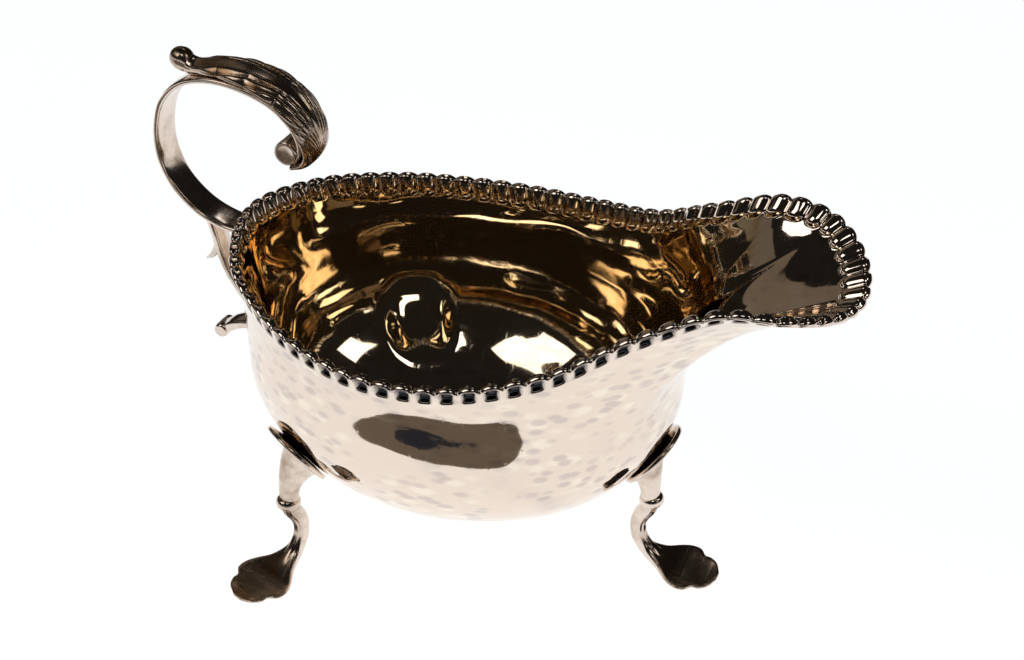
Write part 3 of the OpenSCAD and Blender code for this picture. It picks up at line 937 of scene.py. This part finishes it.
def pad_rings(pad):
    angle = 2 * math.pi * np.arange(PAD_AROUND) / PAD_AROUND

    def ring(r, off, curve):
        flare = max(0, (r - PAD_FLAT_R) / (PAD_R - PAD_FLAT_R)) ** 1.5
        lift = PAD_FLARE * flare * (0.35 + 0.65 * (0.5 - 0.5 * np.cos(angle)))
        return on_pad(pad, r * np.cos(angle), r * np.sin(angle), off + lift, curve)

    face_r = [0.4, 1.5, 3, 4.5, 6, 7, 8, 8.7, 9.1]
    edge = [(PAD_R - 0.08, 0.85), (PAD_R, 0.55), (PAD_R - 0.08, 0.2)]
    rings = [ring(r, PAD_GAP + PAD_T, PAD_CURVE + PAD_T) for r in face_r]
    rings += [ring(r, PAD_GAP + part * PAD_T, PAD_CURVE) for r, part in edge]
    rings += [ring(r, PAD_GAP, PAD_CURVE) for r in face_r[::-1]]
    return np.array(rings)


print("pad rings", pad_rings(FRONT["pad"]).shape)

# %% [markdown]
# The knee flares from a round neck at the collar to a long oval on the pad, so its rings
# go from one to the other, and the flare is held back to the last part. The collar is a
# swelled ring, tilted a little with the leg. Both overlap their neighbours a little, as
# solder does.

# %% Knees and collars
KNEE_AROUND, NECK_R, ROOT_LONG, ROOT_WIDE, ROOT_DROP = 40, 2.4, 6.3, 4.4, 2.6
COLLAR_AROUND, COLLAR_R, COLLAR_SWELL, COLLAR_HALF, COLLAR_TILT = 44, 1.9, 1.25, 1.45, 8


def knee_rings(place, pad):
    angle = 2 * math.pi * np.arange(KNEE_AROUND) / KNEE_AROUND
    turned = angle + math.radians(place[2])
    low = COLLAR_Z + 0.6
    neck = np.stack([place[0] + NECK_R * np.cos(turned), place[1] + NECK_R * np.sin(turned),
                     np.full(KNEE_AROUND, low)], -1)

    def root(part, off):
        down = ROOT_DROP - part * ROOT_LONG * np.cos(angle)
        aside = part * ROOT_WIDE * np.sin(angle)
        return on_pad(pad, down, aside, PAD_GAP + PAD_T + off, PAD_CURVE + PAD_T)

    full, rings = root(1.0, 0.25), []
    for t in np.linspace(0, 1, 22):
        mix = np.array([t ** 2.4, t ** 2.4, t])
        rings.append(neck + (full - neck) * mix)
    rings += [root(1.06, 0.05), root(1.1, -0.3), root(0.5, -0.3)]
    return np.array(rings)


def collar_rings():
    angle = 2 * math.pi * np.arange(COLLAR_AROUND) / COLLAR_AROUND
    rings = []
    for lift in np.radians(np.linspace(-90, 90, 15)):
        r = COLLAR_R + COLLAR_SWELL * math.cos(lift) ** 0.8
        rings.append(np.stack([0.4 + r * np.cos(angle), 0.96 * r * np.sin(angle),
                               np.full(COLLAR_AROUND, COLLAR_HALF * math.sin(lift))], -1))
    rings = np.array(rings)
    tilt = math.radians(COLLAR_TILT)
    x, z = rings[..., 0].copy(), rings[..., 2].copy()
    rings[..., 0] = x * math.cos(tilt) - z * math.sin(tilt)
    rings[..., 2] = COLLAR_Z + x * math.sin(tilt) + z * math.cos(tilt)
    return rings


print("knee rings", knee_rings(FRONT["place"], FRONT["pad"]).shape, "collar rings", collar_rings().shape)

# %% [markdown]
# Shank and foot are one ribbon in the leg's own plane. The half width steps in and out
# near the end, and that makes the three lobes. A pair of fine ridges runs down the shank
# and fades on the foot, which is dished on top. The sole is cut flat at the floor.

# %% Feet
# distance out from the collar's axis, height, half width, thickness
SHANK = np.array([[-0.2, 19.3, 2.1, 4.2], [-0.7, 17.2, 2, 4], [-2.3, 14.2, 1.75, 3.7],
                  [-3, 11, 1.6, 3.3], [-2.4, 7.4, 1.7, 3.3], [0.1, 3.9, 2.3, 3.2],
                  [3.8, 2, 4.1, 2.9], [7.2, 1, 7, 2.4], [9.8, 0.7, 8.2, 2.1],
                  [12.2, 0.6, 7.9, 1.9], [13.8, 0.5, 6.1, 1.8], [15.4, 0.45, 5.9, 1.7],
                  [17.4, 0.4, 4.4, 1.6], [18.8, 0.4, 1.4, 1.2]])
FOOT_STEPS, FOOT_AROUND = 150, 56
RIDGE_HEIGHT, DISH_DEPTH = 0.6, 0.6
foot_at = np.linspace(0, len(SHANK) - 1, FOOT_STEPS)
foot_line = curve_at(SHANK[:, :2], foot_at)
foot_half, foot_thick = curve_at(SHANK[:, 2], foot_at), curve_at(SHANK[:, 3], foot_at)


def foot_relief(v, h):
    """A pair of ridges down the shank and a dish in the top of the foot."""
    upper = np.clip(h, 0, 1)[None, :] ** 0.4 * (h > 0)
    y = np.outer(foot_half, v)
    out = foot_line[:, :1]
    on_foot = ramp(foot_at[:, None], 5, 2)
    toe_end = ramp(foot_at[:, None], len(SHANK) - 1, -1.5)
    ridge = RIDGE_HEIGHT * np.exp(-((np.abs(y) - 0.55) / 0.3) ** 2) * ramp(out, 12, -5)
    dish = -DISH_DEPTH * (1 - np.clip(np.abs(v), 0, 1)[None, :] ** 3) * on_foot
    return (ridge + dish * toe_end) * upper


foot_rings = ribbon_rings(foot_line, foot_half, foot_thick / 2, foot_thick / 2, FOOT_AROUND, 0.7,
                          foot_relief)
foot_rings[..., 2] = np.maximum(foot_rings[..., 2], 0)
foot_angle = 2 * math.pi * np.arange(FOOT_AROUND) / FOOT_AROUND
on_top = np.clip(np.sin(foot_angle), 0, 1) ** 0.5 * (np.abs(np.cos(foot_angle)) < 0.93)
foot_hollow = ramp(foot_at[:, None], 3, 3) * 0.6 * on_top
foot_hollow = np.concatenate([foot_hollow.ravel(), [0, 0]])
print("foot rings", foot_rings.shape, "toe", round(float(foot_rings[..., 0].max()), 1), "mm out")

# %% [markdown]
# Collar and foot are made in a plane through the leg, so they are turned to the leg's
# bearing and carried out to its place. Pads and knees already follow the bowl.

# %% Make the legs
def standing(rings, place):
    """Turns a leg's own plane to its bearing and carries it to its place."""
    turn = math.radians(place[2])
    x, y = rings[..., 0], rings[..., 1]
    return np.stack([place[0] + x * math.cos(turn) - y * math.sin(turn),
                     place[1] + x * math.sin(turn) + y * math.cos(turn), rings[..., 2]], -1)


for leg in (FRONT, REAR_LEFT, REAR_RIGHT):
    parts = {"pad": pad_rings(leg["pad"]),
             "knee": knee_rings(leg["place"], leg["pad"]),
             "collar": standing(collar_rings(), leg["place"]),
             "foot": standing(foot_rings, leg["place"])}
    for part, rings in parts.items():
        shells = [skin(rings)]
        hollow = foot_hollow if part == "foot" else plain(shells)
        piece = make_piece(leg["name"] + "_leg_" + part, shells, cast_silver, hollow=hollow)
        finish_piece(piece, "cast_silver", leg["name"] + "_" + part)

# %% [markdown]
# Plain floor and soft light. The floor is pale and lit from within like a light table,
# so that hardly a shadow falls on it. Polished silver needs something dark to reflect,
# so dark cards stand for the unlit room: two lie on the table in front of the boat, and
# two stand upright behind it and to its left. Only reflections see them.

# %% Floor and room
FLOOR_Z = -0.0002      # just under the soles, so that the two never share a plane


def glowing(name, colour, strength, base=0.8):
    finish = bpy.data.materials.new(name)
    finish.use_nodes = True
    shader = finish.node_tree.nodes["Principled BSDF"]
    shader.inputs["Base Color"].default_value = (base, base, base, 1)
    shader.inputs["Roughness"].default_value = 0.7
    shader.inputs["Emission Color"].default_value = (*colour, 1)
    shader.inputs["Emission Strength"].default_value = strength
    return finish


def flat_sheet(name, corners, finish):
    mesh = bpy.data.meshes.new(name)
    mesh.from_pydata(corners, [], [list(range(len(corners)))])
    mesh.materials.append(finish)
    sheet = bpy.data.objects.new(name, mesh)
    bpy.context.scene.collection.objects.link(sheet)
    return sheet


def lying_sheet(name, height, outline, finish):
    return flat_sheet(name, [(x, y, height) for x, y in outline], finish)


def towards(azimuth, elevation):
    """The direction with that bearing and height, as seen from the boat."""
    turn, lift = math.radians(azimuth), math.radians(elevation)
    return Vector((math.cos(turn) * math.cos(lift), math.sin(turn) * math.cos(lift), math.sin(lift)))


def facing_card(name, azimuth, elevation, distance, size, colour):
    """An upright card, square to its direction from the boat."""
    out = towards(azimuth, elevation)
    across = towards(azimuth + 90, 0)
    up = out.cross(across)
    middle = out * distance + Vector((0, 0, 0.06))
    corners = [middle + across * a * size[0] / 2 + up * b * size[1] / 2
               for a, b in ((-1, -1), (1, -1), (1, 1), (-1, 1))]
    return flat_sheet(name, corners, glowing(name + "_tone", colour, 1.0, 0.0))


lying_sheet("floor", FLOOR_Z, [(-4, -4), (4, -4), (4, 4), (-4, 4)],
            glowing("floor_white", (0.972, 0.986, 1.0), 0.97, 0.3))
cards = [lying_sheet("table_edge", 0.001, [(-0.5, -0.6), (0.35, -0.6), (0.30, -0.099), (0.06, -0.108),
                                           (-0.05, -0.125), (-0.5, -0.145)],
                     glowing("taupe", (0.13, 0.105, 0.08), 1.0, 0.0)),
         lying_sheet("unlit_gap", 0.002, [(-0.08, -0.6), (0.12, -0.6), (0.09, -0.135), (-0.04, -0.15)],
                     glowing("unlit", (0.012, 0.014, 0.022), 1.0, 0.0)),
         facing_card("wall_behind", 146, 30, 1.1, (0.80, 0.52), (0.12, 0.095, 0.07)),
         facing_card("wall_left", -165, 24, 1.1, (0.40, 0.30), (0.11, 0.09, 0.065))]
for only_reflected in cards:
    only_reflected.visible_camera = False
    only_reflected.visible_diffuse = False
    only_reflected.visible_shadow = False
print("cards:", [card.name for card in cards])

# %% [markdown]
# The room is nearly black to reflections and white to the camera, so that the silver gets
# its dark tones from it while the background stays plain. Five soft boxes give the lights
# in the silver: their sizes and places set where each highlight lies.

# %% World and lights
world = bpy.data.worlds.new("room")
bpy.context.scene.world = world
world.use_nodes = True
sky = world.node_tree
background = sky.nodes["Background"]
path = sky.nodes.new("ShaderNodeLightPath")
room = mix_colour(sky, path.outputs["Is Camera Ray"], (0.012, 0.011, 0.010, 1), (1.0, 1.0, 1.0, 1))
feed(sky, room, background.inputs["Color"])
bpy.context.scene.view_settings.view_transform = "Standard"


def softbox(name, azimuth, elevation, size, glow, colour=(1.0, 0.98, 0.95)):
    """A box one metre from the boat, aimed at it; glow is how bright its face looks."""
    light = bpy.data.lights.new(name, "AREA")
    light.shape = "RECTANGLE"
    light.size, light.size_y = size
    light.energy = glow * math.pi * size[0] * size[1]
    light.color = colour
    lamp = bpy.data.objects.new(name, light)
    target = Vector((0, 0, 0.05))
    lamp.location = towards(azimuth, elevation) + target
    lamp.rotation_euler = (target - lamp.location).to_track_quat("-Z", "Y").to_euler()
    bpy.context.scene.collection.objects.link(lamp)
    print(name, round(light.energy, 3), "W")


softbox("softbox_main", -134, 47, (0.46, 0.50), 2.0, (1.0, 0.97, 0.93))
softbox("softbox_front", -67, 60, (0.26, 0.20), 2.4)
softbox("softbox_right", 8, 47, (0.26, 0.24), 2.2)
softbox("softbox_low", -22, 22, (0.20, 0.16), 1.4)
softbox("softbox_back", 108, 50, (0.20, 0.12), 1.6)
